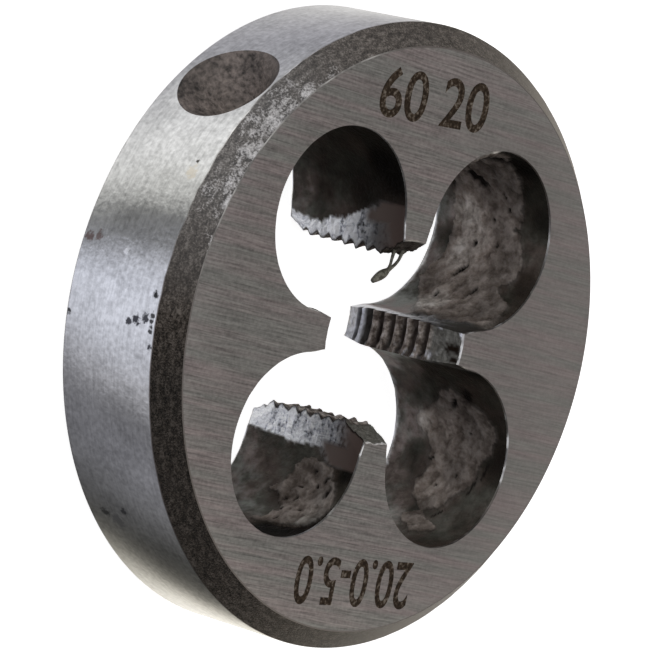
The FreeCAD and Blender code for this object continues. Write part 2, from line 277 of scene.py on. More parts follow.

# How light the wall is round a spot, partly its own tone and partly painted light and shade: painted glints,
# a painted glow near the rear edge, and darkness where shade falls deep in the holes. Turn in degrees,
# height, tone from 0 for black to 2 for light grey. A higher tone makes a wider light patch.
TONES_AND_PAINTED_LIGHT = {
    UPPER_RIGHT_HOLE: [
        (14, 0.95, 1.6), (14, 0.35, 1.4), (-20, 0.2, 1.3), (28, 0.5, 0.9), (34, 0.8, 0.3), (-2, 4.45, 0.6),
        (60, 4.4, 0.0), (45, 3.5, 0.1), (-60, 4.9, 0.3), (-75, 0.7, 6.0), (-60, 1.3, 1.9), (-88, 2.8, 0.0),
        (-30, 4.5, 0.2), (100, 3.2, 0.2), (14, 1.5, 1.8), (-40, 2.6, 0.75), (80, 3.9, 0.1), (-12, 1.5, 1.7),
        (5, 2.9, 0.6), (30, 2.6, 0.5), (20, 3.8, 0.3), (-50, 0.3, 1.2), (-60, 2.8, 0.7), (0, 2.2, 1.5),
        (-58, 2.1, 1.9), (15, 3.3, 0.7), (-30, 3.9, 0.5), (-15, 3.7, 0.4), (18, 4.7, 0.1), (38, 3.7, 0.1),
        (-75, 4.8, 0.9), (-45, 0.9, 0.6), (-5, 0.8, 0.5), (-55, 4.1, 0.3),
    ],
    UPPER_LEFT_HOLE: [
        (0, 0.3, 1.3), (12, 0.6, 1.1), (50, 0.8, 0.55), (110, 1.5, 0.7), (20, 3.2, 0.12), (50, 3.0, 0.3),
        (40, 4.2, 0.0), (120, 4.5, 0.05), (3, 2.0, 0.7), (95, 3.6, 0.10), (140, 2.5, 0.3), (5, 4.4, 0.2),
        (75, 4.6, 0.1), (30, 1.8, 0.35), (30, 4.6, 0.0), (15, 1.6, 0.4),
    ],
    LOWER_LEFT_HOLE: [
        (-25, 0.3, 1.5), (-60, 1.0, 1.2), (-10, 2.6, 0.55), (-100, 4.6, 0.0), (-85, 3.8, 0.0),
        (-64, 2.6, 1.1), (-73, 4.5, 0.0), (-120, 4.4, 0.0), (-45, 5.0, 0.1), (-18, 4.7, 0.0), (-30, 3.6, 0.6),
        (-130, 3.0, 0.6), (-5, 1.4, 0.75), (-88, 2.2, 0.3), (-50, 4.3, 0.95), (-45, 2.6, 0.5),
        (-40, 1.4, 1.0), (-20, 4.0, 0.35), (-48, 2.1, 1.15), (-58, 3.5, 0.72), (-30, 2.0, 0.9),
        (-62, 3.9, 0.6), (-59, 4.4, 1.2), (-42, 4.75, 0.7), (-47, 0.9, 1.5), (-68, 4.75, 0.0),
        (-80, 4.2, 0.0), (-58, 5.0, 0.1), (-28, 4.9, 0.3), (-135, 1.6, 0.4), (-74, 3.6, 0.0), (-58, 1.9, 1.4),
        (-64, 3.3, 1.1), (-30, 4.3, 0.25),
    ],
    LOWER_RIGHT_HOLE: [
        (0, 0.3, 1.6), (60, 0.25, 1.8), (60, 1.4, 1.0), (50, 3.0, 0.3), (0, 4.8, 0.1), (-30, 4.4, 0.6),
        (-52, 3.6, 0.8), (14, 1.25, 1.9), (-25, 0.8, 1.1), (-80, 4.5, 0.35), (-5, 2.6, 0.65), (20, 3.7, 0.1),
        (80, 4.6, 0.0), (-30, 2.3, 1.25), (38, 2.8, 0.25), (88, 0.9, 6.0), (-58, 1.7, 1.7), (-8, 1.2, 0.5),
        (18, 2.5, 0.75), (32, 1.2, 0.5), (-12, 3.1, 0.35), (108, 2.1, 5.0), (92, 3.5, 0.0), (85, 3.6, 0.0),
        (20, 0.4, 1.2), (40, 0.5, 0.9), (-14, 2.2, 1.1), (18, 4.4, 0.18), (32, 3.4, 0.2), (80, 2.8, 0.1),
        (0, 2.1, 0.8), (-16, 1.5, 0.55), (45, 2.1, 0.35), (60, 2.3, 0.28), (45, 4.0, 0.3), (32, 2.2, 0.3),
        (-45, 2.5, 0.45), (-48, 4.6, 0.4),
    ],
}


# Shape of the bore

def from_faces(height):
    """How far a height lies from the nearer face."""
    return min(height, THICKNESS - height)


def lead_offset(height):
    """How far the lead flat's line passes from the axis, at a height. The flat slopes in from either face."""
    return LEAD_OFFSET + from_faces(height) * math.tan(LEAD_FLAT_SLOPE)


def crest_radius(height):
    """Radius of the bore before threading, with both lead-ins."""
    front = (height - (THICKNESS - FRONT_LEAD)) / FRONT_LEAD
    back = (BACK_LEAD - height) / BACK_LEAD
    return max(
        MINOR_RADIUS,
        MINOR_RADIUS + (FRONT_THROAT_RADIUS - MINOR_RADIUS) * front,
        MINOR_RADIUS + (BACK_THROAT_RADIUS - MINOR_RADIUS) * back,
    )


def thread_turns(height, turn):
    """How many turns of the thread lie between its start and a place. A whole number is a groove's middle."""
    return (height - THREAD_HEIGHT) / PITCH - turn / math.tau


def groove_radius(height, turn):
    """Radius of the thread's groove at a height and a turn about the axis."""
    turns = thread_turns(height, turn)
    off_centre = abs(turns - round(turns)) * PITCH
    flank = (off_centre - PITCH / 16) / (PITCH * 5 / 16)
    return MAJOR_RADIUS - (MAJOR_RADIUS - MINOR_RADIUS) * min(max(flank, 0), 1)


def worn_tip_radius(height, turn, land, share):
    """Radius of a land's tip with its wear. The share runs from -1 to 1 across the tip."""
    crest = crest_radius(height)
    depth = max(0, groove_radius(height, turn) - crest)
    place = Vector((height, turn * MAJOR_RADIUS, land * 7.7))
    rough = rugged(place * TIP_FINENESS, 3)
    smoothed = ease(*LEAD_SMOOTHED, height) if land != TOP_LAND else 0
    if land == BOTTOM_LAND:
        filled = depth * BOTTOM_FILLED * (1 - smoothed)
        burr = BOTTOM_BURR * ease(0.10, 0.02, abs(height - BOTTOM_BURR_HEIGHT)) * ease(-0.2, -0.8, share)
        return crest + filled + BOTTOM_WORN + BOTTOM_ROUGHNESS * rough - burr
    chipped = ease(-0.45, -0.9, share) if land == RIGHT_LAND else 0
    radius = crest + depth * (1 - smoothed) * (1 - CHIP_FILLED * chipped)
    radius += (TIP_ROUGHNESS + CHIP_ROUGHNESS * chipped) * rough
    if land == TOP_LAND:
        turns = thread_turns(height, turn)
        tooth = ease(0.30, 0.5, abs(turns - round(turns))) * ease(0.35, 1.0, share)
        tooth *= ease(2.2, 2.8, height) * ease(4.7, 4.3, height)
        uneven = 0.7 + 0.8 * noise.noise(Vector((round(turns * 2) * 1.7, 0.5, 0.5)))
        radius -= TOP_FILLED * depth * ease(0.3, 1.0, share)
        radius -= TOP_TOOTH_BURR * tooth * uneven
        radius -= TOP_LEAD_BURR * ease(3.7, 4.1, height) * ease(5.0, 4.6, height) * (0.8 + rough)
    return radius


def tip_half_turn(radius, height):
    """Half of the angle that a land's tip takes up at a radius."""
    lead_turn = LEAD_FLAT_ANGLE + math.asin(lead_offset(height) / radius)
    return min(side_turn(radius), lead_turn)


def drilled_across(along):
    """How far a land's side stands from the land's centre line before the lead flats are ground."""
    if along > SIDE_START.x:
        return HOLE_CENTRE.y - math.sqrt(HOLE_RADIUS ** 2 - (along - HOLE_CENTRE.x) ** 2)
    return SIDE_START.y - (SIDE_START.x - along) * math.tan(LAND_FLAT_ANGLE)


def lead_cut(along, height):
    """How far the lead flat stands from the land's centre line."""
    return (lead_offset(height) + math.sin(LEAD_FLAT_ANGLE) * along) / math.cos(LEAD_FLAT_ANGLE)


def side_across(along, height):
    """How far a land's side stands from the land's centre line, at a distance along it."""
    drilled = drilled_across(along)
    return min(drilled, lead_cut(along, height)) if along < LEAD_END else drilled


# Dirt and wear

def between(table, place):
    """The values of a table at a place between its rows, or none outside them."""
    for (start, *first), (end, *last) in zip(table, table[1:]):
        if start <= place <= end:
            share = (place - start) / (end - start)
            return [low + share * (high - low) for low, high in zip(first, last)]
    return None


def ease(low, high, value):
    """A smooth step from 0 at one value to 1 at another."""
    share = min(max((value - low) / (high - low), 0), 1)
    return share * share * (3 - 2 * share)


def rugged(place, layers):
    """Uneven relief at a place, with so many layers from coarse to fine."""
    return noise.fractal(place, 0.9, 2.0, layers)


def spotted(spots, turn, height, radius):
    """How strongly spots cover a place. Each has a turn, a height, two half sizes and a slant, in degrees."""
    cover = 0
    for spot_turn, spot_height, long, short, slant in spots:
        across = Vector((math.radians(turn - spot_turn) * radius, height - spot_height))
        across = Matrix.Rotation(math.radians(-slant), 2) @ across
        ragged = SPOT_RAGGED * noise.noise(Vector((turn * radius / 6, height * 9, spot_turn)))
        cover = max(cover, ease(*SPOT_BORDER, math.hypot(across.x / long, across.y / short) + ragged))
    return cover


def worn_bright_and_glints(land, share, height, place):
    """How far a tip is rubbed down to bright metal: at its rear lead-in, and in specks at a chipped side,
    with painted glints.
    """
    if land in (BOTTOM_LAND, TOP_LAND):
        return 0.6 * ease(0.9, 0.6, height)
    rear = ease(1.36, 1.28, height)
    specks = ease(0.12, 0.3, rugged(place * 9.0, 2)) * ease(-0.3, -0.7, share)
    specks *= ease(2.0, 2.8, height) * ease(4.4, 4.0, height)
    glints = spotted(GLINTS.get(land, []), share * TIP_HALF_DEGREES, height, MAJOR_RADIUS)
    return min(1, rear + 0.8 * specks + glints)


def cake(hole, turn, height, place):
    """How thick the caked dirt is on a hole's wall, from 0 to 1."""
    band = between(CAKES.get(hole, []), turn)
    if not band:
        return 0
    low, high = band
    ragged = CAKE_RAGGED * rugged(place * CAKE_RAGGED_FINENESS, 5)
    soft = 0
    if hole == UPPER_RIGHT_HOLE:
        soft = 0.4 * ease(-50, -75, turn)
    elif hole == LOWER_RIGHT_HOLE:
        soft = 0.3 * ease(2.6, 1.2, height)
    return ease(-0.03 - soft, 0.04 + soft, min(height - low, high - height) + ragged)


def tone_and_painted_light(hole, turn, height):
    """How light a hole's wall is, partly its own tone and partly painted light and shade, blended from the
    spots round a place.
    """
    total, weights = 0, 0
    for spot_turn, spot_height, value in TONES_AND_PAINTED_LIGHT[hole]:
        away = math.hypot(math.radians(turn - spot_turn) * HOLE_RADIUS, height - spot_height)
        weight = 1 / (TONE_CORE + away) ** TONE_FALL
        total += weight * value
        weights += weight
    return total / weights


# Meshes

def linked(name, data):
    """A new object that holds some data, in the scene."""
    thing = bpy.data.objects.new(name, data)
    bpy.context.scene.collection.objects.link(thing)
    return thing


def mesh_of(name, bm):
    """A mesh made from a bmesh, which is used up."""
    mesh = bpy.data.meshes.new(name)
    bm.to_mesh(mesh)
    bm.free()
    return mesh


def bmesh_of(mesh):
    """A bmesh made from a mesh, which is used up."""
    bm = bmesh.new()
    bm.from_mesh(mesh)
    bpy.data.meshes.remove(mesh)
    return bm


def finished(thing):
    """An object's shape as a bmesh, with its modifiers applied."""
    graph = bpy.context.evaluated_depsgraph_get()
    return bmesh_of(bpy.data.meshes.new_from_object(thing.evaluated_get(graph)))


def bmesh_of_curve(name, curve):
    """The shape of a text or a curve as a bmesh, with its doubles merged."""
    source = linked(name, curve)
    bm = finished(source)
    bpy.data.objects.remove(source)
    bmesh.ops.remove_doubles(bm, verts=bm.verts, dist=TOUCHING)
    return bm


def new_piece(name, bm, materials):
    """Scale a bmesh to metres, hand it to a new object that rides with the die, and give it its materials."""
    bmesh.ops.scale(bm, vec=(MM, MM, MM), verts=bm.verts)
    mesh = mesh_of(name, bm)
    for material in materials:
        mesh.materials.append(material)
    piece = linked(name, mesh)
    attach(piece, BODY)
    return piece


def only(items, kind):
    """The items of one bmesh kind, out of an operator's mixed result."""
    return [item for item in items if isinstance(item, kind)]


def turned_disc():
    """The disc with its chamfers and both dimples, before its bore and holes, as a closed bmesh."""
    bm = bmesh.new()
    front = THICKNESS - FRONT_CHAMFER
    back_edge = RIM_RADIUS - BACK_CHAMFER
    front_edge = RIM_RADIUS - FRONT_CHAMFER
    profile = [
        (0, 0), (back_edge - EDGE_BREAK, 0), (back_edge + EDGE_BREAK / 2, EDGE_BREAK / 2),
        (RIM_RADIUS - EDGE_BREAK / 2, BACK_CHAMFER - EDGE_BREAK / 2), (RIM_RADIUS, BACK_CHAMFER + EDGE_BREAK),
        (RIM_RADIUS, front - EDGE_BREAK), (RIM_RADIUS - EDGE_BREAK / 2, front + EDGE_BREAK / 2),
        (front_edge + FACE_EDGE_BREAK / 2, THICKNESS - FACE_EDGE_BREAK / 2),
        (front_edge - FACE_EDGE_BREAK, THICKNESS), (0, THICKNESS),
    ]
    corners = [bm.verts.new((radius, 0, height)) for radius, height in profile]
    edges = [bm.edges.new(pair) for pair in zip(corners, corners[1:])]
    bmesh.ops.spin(
        bm, geom=corners + edges, cent=(0, 0, 0), axis=AXIS, angle=math.tau, steps=RIM_STEPS, use_merge=True
    )
    bmesh.ops.remove_doubles(bm, verts=bm.verts, dist=SPUN_DOUBLES)
    bmesh.ops.recalc_face_normals(bm, faces=bm.faces)
    for vert in bm.verts:
        if abs(vert.co.z - front) < 2 * EDGE_BREAK:
            turn = math.degrees(math.atan2(vert.co.y, vert.co.x))
            worn = WORN_EDGE_WAVE * ease(*WORN_EDGE_STARTS, turn) * ease(*WORN_EDGE_ENDS, turn % 360)
            wave = noise.fractal(Vector((vert.co.x, vert.co.y, 0)) * 1.3, 0.8, 2.0, 4)
            vert.co.z += (EDGE_WAVE + worn) * wave
    return with_dimples(bm)


def with_dimples(bm):
    """The disc's bmesh with both dimples cut into its rim."""
    disc = linked("disc", mesh_of("disc", bm))
    cutters = [dimple_cutter(turn) for turn in DIMPLE_TURNS]
    for cutter in cutters:
        cut = disc.modifiers.new("dimple", "BOOLEAN")
        cut.operation = "DIFFERENCE"
        cut.solver = "EXACT"
        cut.object = cutter
    result = finished(disc)
    for thing in [disc] + cutters:
        spent = thing.data
        bpy.data.objects.remove(thing)
        bpy.data.meshes.remove(spent)
    return result


def dimple_cutter(turn):
    """A cone that points at the axis, with its mouth's circle on the rim's radius."""
    bm = bmesh.new()
    reach = DIMPLE_RADIUS - DIMPLE_TIP_RADIUS
    beyond = 1.0
    bmesh.ops.create_cone(
        bm, cap_ends=True, segments=DIMPLE_STEPS,
        radius1=DIMPLE_TIP_RADIUS, radius2=DIMPLE_RADIUS + beyond, depth=reach + beyond,
    )
    middle = RIM_RADIUS + (beyond - reach) / 2
    bmesh.ops.rotate(bm, verts=bm.verts, cent=(0, 0, 0), matrix=Matrix.Rotation(QUARTER, 3, "Y"))
    bmesh.ops.translate(bm, verts=bm.verts, vec=(middle, 0, THICKNESS / 2))
    bmesh.ops.rotate(bm, verts=bm.verts, cent=(0, 0, 0), matrix=Matrix.Rotation(turn, 3, "Z"))
    return linked("cutter", mesh_of("cutter", bm))


def wall_strip():
    """The wall of the bore and the four chip holes, as an open strip of small faces from back to front."""
    bm = bmesh.new()
    half_turn = side_turn(MINOR_RADIUS)
    corner = MINOR_RADIUS * Vector((math.cos(half_turn), math.sin(half_turn), 0))
    mirrored = Vector((corner.x, -corner.y, 0))
    tip = bm.verts.new(mirrored)
    bmesh.ops.spin(bm, geom=[tip], cent=(0, 0, 0), axis=AXIS, angle=2 * half_turn, steps=TIP_STEPS)
    side = bm.edges.new((bm.verts.new(corner), bm.verts.new(SIDE_START)))
    far_ends = (bm.verts.new((SIDE_START.y, SIDE_START.x, 0)), bm.verts.new((corner.y, corner.x, 0)))
    far_side = bm.edges.new(far_ends)
    bmesh.ops.subdivide_edges(bm, edges=[side, far_side], cuts=SIDE_STEPS - 1)
    hole = bm.verts.new(SIDE_START)
    sweep = math.pi + QUARTER - 2 * LAND_FLAT_ANGLE
    bmesh.ops.spin(bm, geom=[hole], cent=HOLE_CENTRE, axis=AXIS, angle=sweep, steps=HOLE_STEPS)
    quarter = bm.verts[:] + bm.edges[:]
    turned = math.tau - QUARTER
    bmesh.ops.spin(
        bm, geom=quarter, cent=(0, 0, 0), axis=AXIS, angle=turned, steps=LANDS - 1, use_duplicate=True
    )
    bmesh.ops.remove_doubles(bm, verts=bm.verts, dist=NEAR)
    raised = bmesh.ops.extrude_edge_only(bm, edges=bm.edges[:])
    bmesh.ops.translate(bm, verts=only(raised["geom"], bmesh.types.BMVert), vec=(0, 0, THICKNESS))
    upright = [edge for edge in bm.edges if is_upright(edge)]
    bmesh.ops.subdivide_edges(bm, edges=upright, cuts=WALL_ROWS - 1, use_grid_fill=True)
    reach = SIDE_START.length + NEAR
    toothed = [edge for edge in bm.edges if is_upright(edge) and edge.verts[0].co.xy.length < reach]
    bmesh.ops.subdivide_edges(bm, edges=toothed, cuts=1, use_grid_fill=True)
    return bm


def is_upright(edge):
    """Whether an edge of the wall runs along the axis."""
    return (edge.verts[0].co.xy - edge.verts[1].co.xy).length < TOUCHING


def shape_wall(bm):
    """Move the wall's points to the thread, lead-ins, lead flats and worn surface, and mark the dirt."""
    marks = {name: bm.verts.layers.float.new(name) for name in MARKS}
    nominal = side_turn(MINOR_RADIUS)
    for vert in bm.verts:
        height = vert.co.z
        turn = math.atan2(vert.co.y, vert.co.x)
        land = round(turn / QUARTER)
        local = Matrix.Rotation(-land * QUARTER, 3, "Z") @ vert.co
        side = math.copysign(1, local.y)
        nicked = 0.8 + max(0, rugged(vert.co * 1.6, 3))
        broken = EDGE_BREAK * nicked if from_faces(height) < SPUN_DOUBLES else 0
        land = BOTTOM_LAND if land == LANDS + BOTTOM_LAND else land
        on_tip = vert.co.xy.length < MINOR_RADIUS + NEAR
        if on_tip:
            share = math.atan2(local.y, local.x) / nominal
            radius = worn_tip_radius(height, turn, land, share) + broken
            place = share * tip_half_turn(radius, height)
            local.x = radius * math.cos(place)
            local.y = radius * math.sin(place)
            groove = groove_radius(height + DIRT_AND_PAINTED_SHADE_SHIFT, turn) - crest_radius(height)
            degrees = math.degrees(math.atan2(local.y, local.x))
            stain = spotted(STAINS.get(land, []), degrees, height, MAJOR_RADIUS)
            vert[marks["groove"]] = max(0, groove) / (MAJOR_RADIUS - MINOR_RADIUS)
            vert[marks["cake"]] = stain
            vert[marks["bare_and_painted_highlight"]] = worn_bright_and_glints(land, share, height, vert.co)
        elif local.x < SIDE_START.x + NEAR:
            start = MINOR_RADIUS * math.cos(nominal)
            share = (local.x - start) / (SIDE_START.x - start)
            radius = worn_tip_radius(height, land * QUARTER + side * nominal, land, side) + broken
            place = tip_half_turn(radius, height)
            corner = radius * math.cos(place)
            local.x = corner + share * (SIDE_START.x - corner)
            local.y = side * side_across(local.x, height)
            local.y -= side * broken * min(1, share * 3)
        elif local.x < LEAD_END and abs(local.y) < HOLE_CENTRE.y:
            local.y = side * side_across(local.x, height)
        vert.co = Matrix.Rotation(land * QUARTER, 3, "Z") @ local
        if not on_tip:
            weather(vert, marks, land, local, broken)


def weather(vert, marks, land, local, broken):
    """Build up the cake on a point of a wall, break the hole's edge there, and mark what lies on it, with its
    painted light and shade.
    """
    height = vert.co.z
    hole = math.floor(math.atan2(vert.co.y, vert.co.x) / QUARTER) % LANDS
    centre = HOLE_PLACE * Vector((math.cos(QUARTER * (hole + 0.5)), math.sin(QUARTER * (hole + 0.5)), 0))
    outward = vert.co - centre
    outward.z = 0
    turn = math.degrees(math.atan2(outward.y, outward.x))
    side = math.copysign(1, local.y)
    ragged = noise.fractal(vert.co * 4.0 + RAGGED_SHIFT, 0.9, 2.1, 3)
    reach = between(BARE_REACH.get((land, side), [(-1, 0), (6, 0)]), height)[0] + BARE_RAGGED * ragged
    soft = RIGHT_BARE_SOFT if land == RIGHT_LAND and side > 0 else BARE_SOFT
    bare_and_painted_highlight = ease(soft, -soft, local.x - SIDE_START.x - reach)
    ground = local.x < LEAD_END and lead_cut(local.x, height) < drilled_across(local.x) - 1e-6
    arc = math.degrees(math.atan2(local.x - HOLE_CENTRE.x, HOLE_CENTRE.y - abs(local.y)))
    starts = BROWNED_START + BROWNED_CURVE * max(0, arc / FLAT_ARC) ** 2 + BROWNED_RAGGED * ragged
    flat = ease(FLAT_ARC + BROWNED_ARC_SOFT, FLAT_ARC - BROWNED_ARC_SOFT, arc)
    flat *= ease(starts - BROWNED_SOFT, starts + BROWNED_SOFT, height)
    vert[marks["groove"]] = flat * ease(-1.5, 1.5, arc)
    if ground and height > THICKNESS / 2:
        flat = 1
    # A strip of bare metal along the rear edge of the right-hand holes: a painted highlight along that edge
    if hole in (UPPER_RIGHT_HOLE, LOWER_RIGHT_HOLE) and local.x > SIDE_START.x:
        bare_and_painted_highlight = max(bare_and_painted_highlight, 0.75 * ease(0.20, 0.0, height + 0.1 * ragged))
    thickness = 0 if ground else cake(hole, turn, height, vert.co) * (1 - flat)
    lumps = noise.fractal(vert.co * 2.6 + LUMPS_SHIFT, 0.8, 2.2, 5)
    fade = ease(0, 0.15, from_faces(height))
    pit_and_painted_shade = spotted(PITS_AND_PAINTED_SHADE.get(hole, []), turn, height, HOLE_RADIUS)
    vert[marks["cake"]] = thickness
    vert[marks["tone_and_painted_light"]] = tone_and_painted_light(hole, turn, height)
    vert[marks["relief"]] = lumps
    vert[marks["bare_and_painted_highlight"]] = max(bare_and_painted_highlight, flat)
    vert[marks["pit_and_painted_shade"]] = pit_and_painted_shade * (1 - flat)
    if local.x > SIDE_START.x - NEAR:
        built_up = fade * (thickness * (CAKE_THICKNESS + CAKE_LUMPS * lumps - CAKE_PITS * pit_and_painted_shade))
        built_up += fade * WALL_LUMPS * lumps * (1 - flat)
        vert.co += outward.normalized() * (broken - built_up)
    elif (land, side) in BARE_REACH and not ground:
        inner = ease(0, 0.1, from_faces(height)) * ease(SIDE_START.x, SIDE_START.x - 0.15, local.x)
        chunks = inner * bare_and_painted_highlight * ease(4.0, 3.4, height) * (TORN_CHUNKS * ragged + TORN_LUMPS * lumps)
        vert.co += Matrix.Rotation(land * QUARTER, 3, "Z") @ Vector((0, side * chunks, 0))


def is_flat(face):
    """Whether a face lies square to the axis."""
    return abs(face.normal.z) > POINTS_ALONG


def build_die(materials):
    """The whole die as one closed mesh: the disc, its wall of openings, and the faces filled between them."""
    slots = {material.name: index for index, material in enumerate(materials)}
    bm = turned_disc()
    caps = [face for face in bm.faces if is_flat(face)]
    bmesh.ops.delete(bm, geom=caps, context="FACES")
    loose = [vert for vert in bm.verts if not vert.link_faces]
    bmesh.ops.delete(bm, geom=loose, context="VERTS")
    wall = wall_strip()
    for face in wall.faces:
        at_edge = from_faces(face.calc_center_median().z) < THICKNESS / WALL_ROWS
        on_tip = all(vert.co.xy.length < MINOR_RADIUS + NEAR for vert in face.verts)
        face.material_index = slots["broken_edge" if at_edge else "thread" if on_tip else "opening_wall"]
    shape_wall(wall)
    mesh = mesh_of("wall", wall)
    bm.from_mesh(mesh)
    bpy.data.meshes.remove(mesh)
    for height in (0, THICKNESS):
        rims = [edge for edge in bm.edges if edge.is_boundary and abs(edge.verts[0].co.z - height) < NEAR]
        up = (0, 0, 1 if height else -1)
        bmesh.ops.triangle_fill(bm, use_beauty=True, use_dissolve=False, edges=rims, normal=up)
    bmesh.ops.recalc_face_normals(bm, faces=bm.faces)
    for face in bm.faces:
        face.smooth = True
        if face.calc_center_median().xy.length > HOLE_PLACE + HOLE_RADIUS + 0.1 or is_flat(face):
            face.material_index = slots[surface(face)]
    for edge in bm.edges:
        inside = all(face.material_index == slots["opening_wall"] for face in edge.link_faces)
        edge.smooth = edge.calc_face_angle(0) < (WALL_CREASE if inside else CREASE)
    return new_piece("die_body", bm, materials)


def lettering(name, words, box, materials, upside_down=False):
    """Plain numbers marked on the front face, fitted to a box of left, right, bottom and top."""
    letters = bpy.data.curves.new(name, "FONT")
    letters.body = words
    letters.extrude = LETTER_DEPTH
    letters.offset = LETTER_SWELL
    bm = bmesh_of_curve(name, letters)
    places = [vert.co for vert in bm.verts]
    low, high = (Vector([pick(place[axis] for place in places) for axis in range(3)]) for pick in (min, max))
    left, right, bottom, top = box
    across, up = (right - left) / (high.x - low.x), (top - bottom) / (high.y - low.y)
    bmesh.ops.translate(bm, verts=bm.verts, vec=-(low + high) / 2)
    bmesh.ops.scale(bm, vec=(across, up, 1), verts=bm.verts)
    if upside_down:
        bmesh.ops.rotate(bm, verts=bm.verts, cent=(0, 0, 0), matrix=Matrix.Rotation(math.pi, 3, "Z"))
    bmesh.ops.translate(bm, verts=bm.verts, vec=((left + right) / 2, (bottom + top) / 2, THICKNESS))
    bmesh.ops.recalc_face_normals(bm, faces=bm.faces)
    return new_piece(name, bm, materials)


def sliver(name, path, materials):
    """A thin curl of swarf along a path of points, each with its own half width."""
    line = bpy.data.curves.new(name, "CURVE")
    line.dimensions = "3D"
    line.resolution_u = 6
    line.bevel_depth = 1.0
    line.bevel_resolution = 2
    line.use_fill_caps = True
    spline = line.splines.new("NURBS")
    spline.points.add(len(path) - 1)
    for point, (x, y, z, half_width) in zip(spline.points, path):
        point.co = (x, y, z, 1)
        point.radius = half_width
    spline.order_u = 3
    spline.use_endpoint_u = True
    bm = bmesh_of_curve(name, line)
    bmesh.ops.recalc_face_normals(bm, faces=bm.faces)
    for face in bm.faces:
        face.smooth = True
    return new_piece(name, bm, materials)


def surface(face):
    """The name of the material that a face of the disc takes."""
    place = face.calc_center_median()
    reach = place.xy.length
    outward = face.normal.xy.dot(place.xy) / reach
    if is_flat(face):
        return "ground_face"
    if BACK_CHAMFER + EDGE_BREAK < place.z < THICKNESS - FRONT_CHAMFER - 3 * EDGE_BREAK:
        on_rim = outward > POINTS_ALONG and reach > RIM_RADIUS - EDGE_BREAK
        return "ground_rim" if on_rim else "dimple"
    return "hardened_chamfer" if abs(outward - math.sqrt(0.5)) < 0.1 else "broken_edge"


def camera():
    """The photograph's camera, fitted to the die's outlines in the picture."""
    tilt, roll, turn = 0.8344229, 1.3212034, math.radians(4.8996) - QUARTER
    shift_x, shift_y, distance = 2.2248949, -0.5210711, 136.255592
    focal_pixels, photo_side, sensor = 4354.29, 650, 36.0
    to_camera = Matrix.Rotation(roll, 3, "Z") @ Matrix.Rotation(tilt, 3, "X") @ Matrix.Rotation(turn, 3, "Z")
    data = bpy.data.cameras.new("camera")
    data.lens = focal_pixels * sensor / photo_side
    data.sensor_width = sensor
    data.clip_start = 1 * MM
    data.clip_end = 10.0
    eye = linked("camera", data)
    rotation = to_camera.transposed()
    place = rotation @ Vector((-shift_x, -shift_y, distance)) + Vector((0, 0, THICKNESS))
    eye.matrix_world = Matrix.Translation(place * MM) @ rotation.to_4x4()
    bpy.context.scene.camera = eye


# The floor: half its side, how far it lies below the die, its colour, and its own brightness for the camera
FLOOR_SIZE = 1500
FLOOR_GAP = 0.02
FLOOR_COLOUR = (0.8, 0.8, 0.8, 1)
FLOOR_GLOW = 0.85

# Brightness of the boards that stand round the die, by direction in degrees from +X. The rim mirrors the low
# ones, the faces and chamfers the high ones, which fade with the direction's height.
LOW_BOARDS = [
    (-165, (0.97, 1.0, 1.12)), (-152, (0.66, 0.67, 0.74)), (-146, (0.60, 0.59, 0.62)),
    (-138, (0.11, 0.11, 0.12)), (-125, (0.26, 0.26, 0.29)), (-113, (0.29, 0.29, 0.32)),
    (-103, (0.20, 0.20, 0.21)), (-92, (0.09, 0.09, 0.09)), (-84, (0.04, 0.04, 0.037)),
    (-72, (0.035, 0.035, 0.030)), (-61, (0.04, 0.04, 0.034)), (-54, (0.24, 0.225, 0.19)),
    (-46, (1.6, 1.5, 1.28)), (-35, (1.85, 1.78, 1.6)), (-15, (1.6, 1.55, 1.5)), (12, (1.30, 1.29, 1.26)),
    (26, (1.0, 0.98, 0.95)), (38, (0.76, 0.75, 0.76)), (50, (0.58, 0.57, 0.61)), (75, (0.44, 0.44, 0.49)),
    (95, (0.60, 0.60, 0.62)), (112, (1.20, 1.20, 1.20)), (132, (1.20, 1.20, 1.18)), (143, (0.98, 0.98, 0.93)),
    (150, (0.07, 0.07, 0.068)), (160, (0.10, 0.10, 0.10)), (167, (0.50, 0.51, 0.56)),
    (179, (1.05, 1.09, 1.24)),
]
HIGH_BOARDS = [
    (-165, (1.10, 1.12, 1.20)), (-135, (0.32, 0.32, 0.33)), (-95, (0.20, 0.20, 0.20)),
    (-60, (0.9, 0.85, 0.78)), (-40, (0.9, 0.85, 0.78)), (-25, (0.37, 0.36, 0.35)), (15, (0.35, 0.34, 0.33)),
    (40, (0.60, 0.58, 0.56)), (75, (0.62, 0.62, 0.66)), (117, (0.97, 0.98, 0.95)), (150, (0.80, 0.80, 0.80)),
    (179, (1.15, 1.17, 1.25)),
]
HIGH_FADE = [(0.1, 1.0), (0.45, 1.3), (0.60, 1.1), (0.72, 0.65), (0.90, 0.6)]
CEILING = (0.85, 0.85, 0.85)
WHITE = (1.0, 1.0, 1.0)

# Where the low boards give way to the high ones, and those to the ceiling, by the direction's height
BOARDS_MEET = (-0.1, 0.1)
CEILING_MEETS = (0.90, 0.98)

# Turn of the grinding lines on the faces
LINES_TURN = math.radians(4.9)

